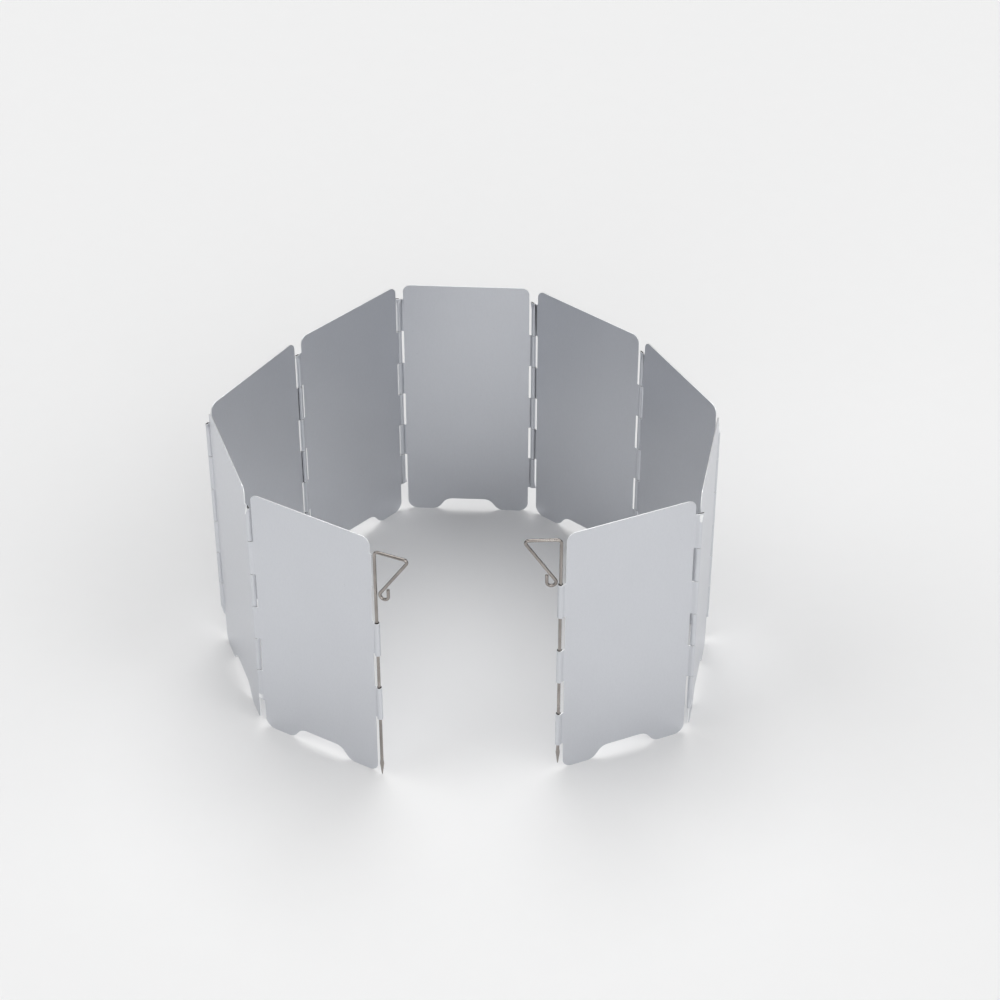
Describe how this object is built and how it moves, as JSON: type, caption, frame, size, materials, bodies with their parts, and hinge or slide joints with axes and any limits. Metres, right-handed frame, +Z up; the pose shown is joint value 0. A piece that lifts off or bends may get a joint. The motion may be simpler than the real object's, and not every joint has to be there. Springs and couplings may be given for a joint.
{
  "type": "folding stove windscreen",
  "caption": "Folding windscreen for a camp stove: sheet metal plates hinged on rolled edges into an open ring, with vent notches along the foot and a wire ground stake at each end.",
  "frame": {"origin": "on the ground under the middle of the open ring's bounding box", "axes": "+X to the right along the middle plate, seen from the open front; +Y from the open front towards the middle plate; +Z up"},
  "size_m": [0.2964, 0.2598, 0.1724],
  "materials": {
    "plate_sheet": "satin anodised",
    "pin_wire": "drawn wire",
    "stake_wire": "drawn wire, brownish grey"
  },
  "bodies": {
    "middle": {"plate_middle": "plate_sheet", "pin_4": "pin_wire", "pin_5": "pin_wire"},
    "left_back": {"plate_left_back": "plate_sheet", "pin_3": "pin_wire"},
    "left_side": {"plate_left_side": "plate_sheet", "pin_2": "pin_wire"},
    "left_front": {"plate_left_front": "plate_sheet", "pin_1": "pin_wire"},
    "left_end": {"plate_left_end": "plate_sheet"},
    "left_stake": {"stake_left": "stake_wire"},
    "right_back": {"plate_right_back": "plate_sheet", "pin_6": "pin_wire"},
    "right_side": {"plate_right_side": "plate_sheet", "pin_7": "pin_wire"},
    "right_front": {"plate_right_front": "plate_sheet", "pin_8": "pin_wire"},
    "right_end": {"plate_right_end": "plate_sheet"},
    "right_stake": {"stake_right": "stake_wire"}
  },
  "joints": [
    {"name": "left_fold", "type": "hinge", "parent": "middle", "child": "left_back", "pos_m": [-0.04759, 0.12793, 0.0862], "axis": [0, 0, -1], "range_deg": [0, 226.6]},
    {"name": "left_side_fold", "type": "hinge", "parent": "left_back", "child": "left_side", "pos_m": [-0.10243, 0.06496, 0.0862], "axis": [0, 0, 1], "range_deg": [0, 167.9]},
    {"name": "left_front_fold", "type": "hinge", "parent": "left_side", "child": "left_front", "pos_m": [-0.14649, -0.00598, 0.0862], "axis": [0, 0, -1], "range_deg": [0, 231.8]},
    {"name": "left_end_fold", "type": "hinge", "parent": "left_front", "child": "left_end", "pos_m": [-0.11407, -0.08293, 0.0862], "axis": [0, 0, 1], "range_deg": [0, 137.9]},
    {"name": "right_fold", "type": "hinge", "parent": "middle", "child": "right_back", "pos_m": [0.03591, 0.12713, 0.0862], "axis": [0, 0, -1], "range_deg": [0, 141]},
    {"name": "right_side_fold", "type": "hinge", "parent": "right_back", "child": "right_side", "pos_m": [0.1029, 0.07728, 0.0862], "axis": [0, 0, 1], "range_deg": [0, 199]},
    {"name": "right_front_fold", "type": "hinge", "parent": "right_side", "child": "right_front", "pos_m": [0.14647, 0.00605, 0.0862], "axis": [0, 0, -1], "range_deg": [0, 138.2]},
    {"name": "right_end_fold", "type": "hinge", "parent": "right_front", "child": "right_end", "pos_m": [0.13564, -0.07675, 0.0862], "axis": [0, 0, 1], "range_deg": [0, 234.2]},
    {"name": "left_stake_slide", "type": "slide", "parent": "left_end", "child": "left_stake", "axis": [0, 0, 1], "range_m": [-0.047, 0.03]},
    {"name": "right_stake_slide", "type": "slide", "parent": "right_end", "child": "right_stake", "axis": [0, 0, 1], "range_m": [-0.028, 0.0025]}
  ],
  "couplings": [
    {"joint": "left_side_fold", "follows": "left_fold", "ratio": 0.74095},
    {"joint": "left_front_fold", "follows": "left_fold", "ratio": 1.0229},
    {"joint": "left_end_fold", "follows": "left_fold", "ratio": 0.60856},
    {"joint": "right_side_fold", "follows": "right_fold", "ratio": 1.4113},
    {"joint": "right_front_fold", "follows": "right_fold", "ratio": 0.98014},
    {"joint": "right_end_fold", "follows": "right_fold", "ratio": 1.661}
  ]
}
